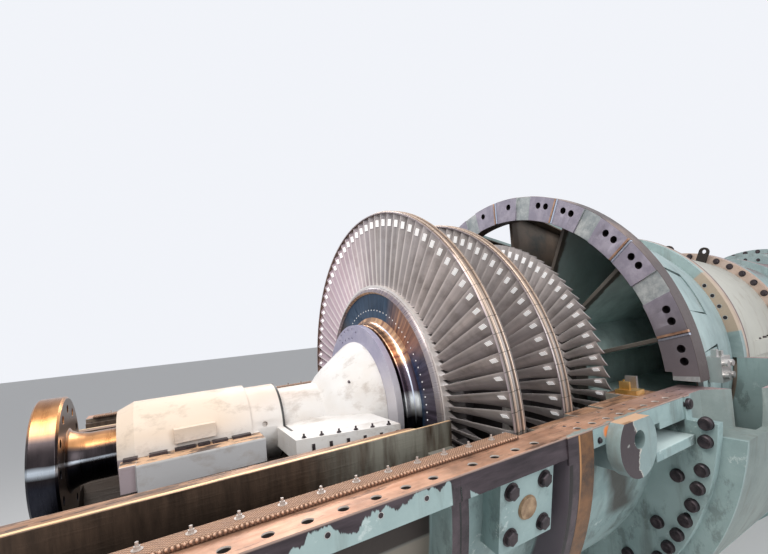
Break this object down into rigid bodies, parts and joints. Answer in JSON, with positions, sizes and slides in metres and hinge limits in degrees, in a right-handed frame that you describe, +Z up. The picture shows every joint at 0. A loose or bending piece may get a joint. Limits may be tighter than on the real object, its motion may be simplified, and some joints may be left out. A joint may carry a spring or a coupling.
{
  "type": "gas turbine",
  "caption": "Heavy-duty gas turbine opened at the exhaust end, showing its bladed rotor in the lower casings, a segmented support ring and the closed compressor casings.",
  "frame": {"origin": "on the floor under the middle of the machine's length, below the rotor axis", "axes": "+X along the rotor from the exhaust end to the compressor end, +Z up"},
  "size_m": [12.14, 4.86, 4.68],
  "materials": {
    "casing_paint": "satin pale green paint over castings",
    "casing_lower": "satin pale green paint with bare machined flange faces",
    "diffuser_plate": "heat-tinted plate, dull brown",
    "dull_steel": "dull steel",
    "insulation": "wire-meshed insulation with studs",
    "white_paint": "matt off-white paint, lightly soiled",
    "cream_paint": "matt cream-grey paint",
    "machined_mauve": "machined face with a mauve sheen",
    "polished_steel": "polished shaft steel",
    "rotor_steel": "turned forging",
    "blade_alloy": "satin grey-brown cast alloy",
    "shroud_alloy": "golden-brown heat-tinted alloy"
  },
  "bodies": {
    "casing": {"exhaust_casing": "casing_lower", "exhaust_frame": "casing_lower", "diffuser_outer": "diffuser_plate", "diffuser_inner": "diffuser_plate", "diffuser_struts": "dull_steel", "insulation_strips": "insulation", "strut_covers": "casing_paint", "bearing_pedestal": "dull_steel", "bearing_tunnel": "white_paint", "tunnel_side_boxes": "white_paint", "bearing_cone": "white_paint", "cone_joint_flange": "white_paint", "cone_front_ring": "machined_mauve", "turbine_shell": "casing_lower", "lifting_lugs": "casing_paint", "shell_ledges": "casing_paint", "stator_rings": "dull_steel", "wrapper_casing": "casing_lower", "support_ring": "machined_mauve", "discharge_frame": "casing_paint", "frame_webs": "casing_paint", "inner_barrel": "casing_paint", "discharge_casing": "cream_paint", "compressor_casing": "casing_paint", "inlet_casing": "casing_paint", "inlet_struts": "casing_paint", "inlet_bearing": "white_paint", "lifting_eyes": "dull_steel", "exhaust_legs": "casing_paint", "compressor_support": "casing_paint", "inlet_supports": "casing_paint"},
    "rotor": {"rear_coupling": "polished_steel", "rear_shaft": "polished_steel", "rear_drum": "polished_steel", "wheel_3": "rotor_steel", "wheel_2": "rotor_steel", "wheel_1": "rotor_steel", "blades_3": "blade_alloy", "blades_2": "blade_alloy", "blades_1": "blade_alloy", "shroud_3": "shroud_alloy", "shroud_2": "shroud_alloy", "forward_shaft": "rotor_steel", "compressor_drum": "rotor_steel", "front_coupling": "polished_steel"}
  },
  "joints": [
    {"name": "rotor_spin", "type": "hinge", "parent": "casing", "child": "rotor", "pos_m": [-3.68, 0, 2.7], "axis": [1, 0, 0], "continuous": true}
  ]
}
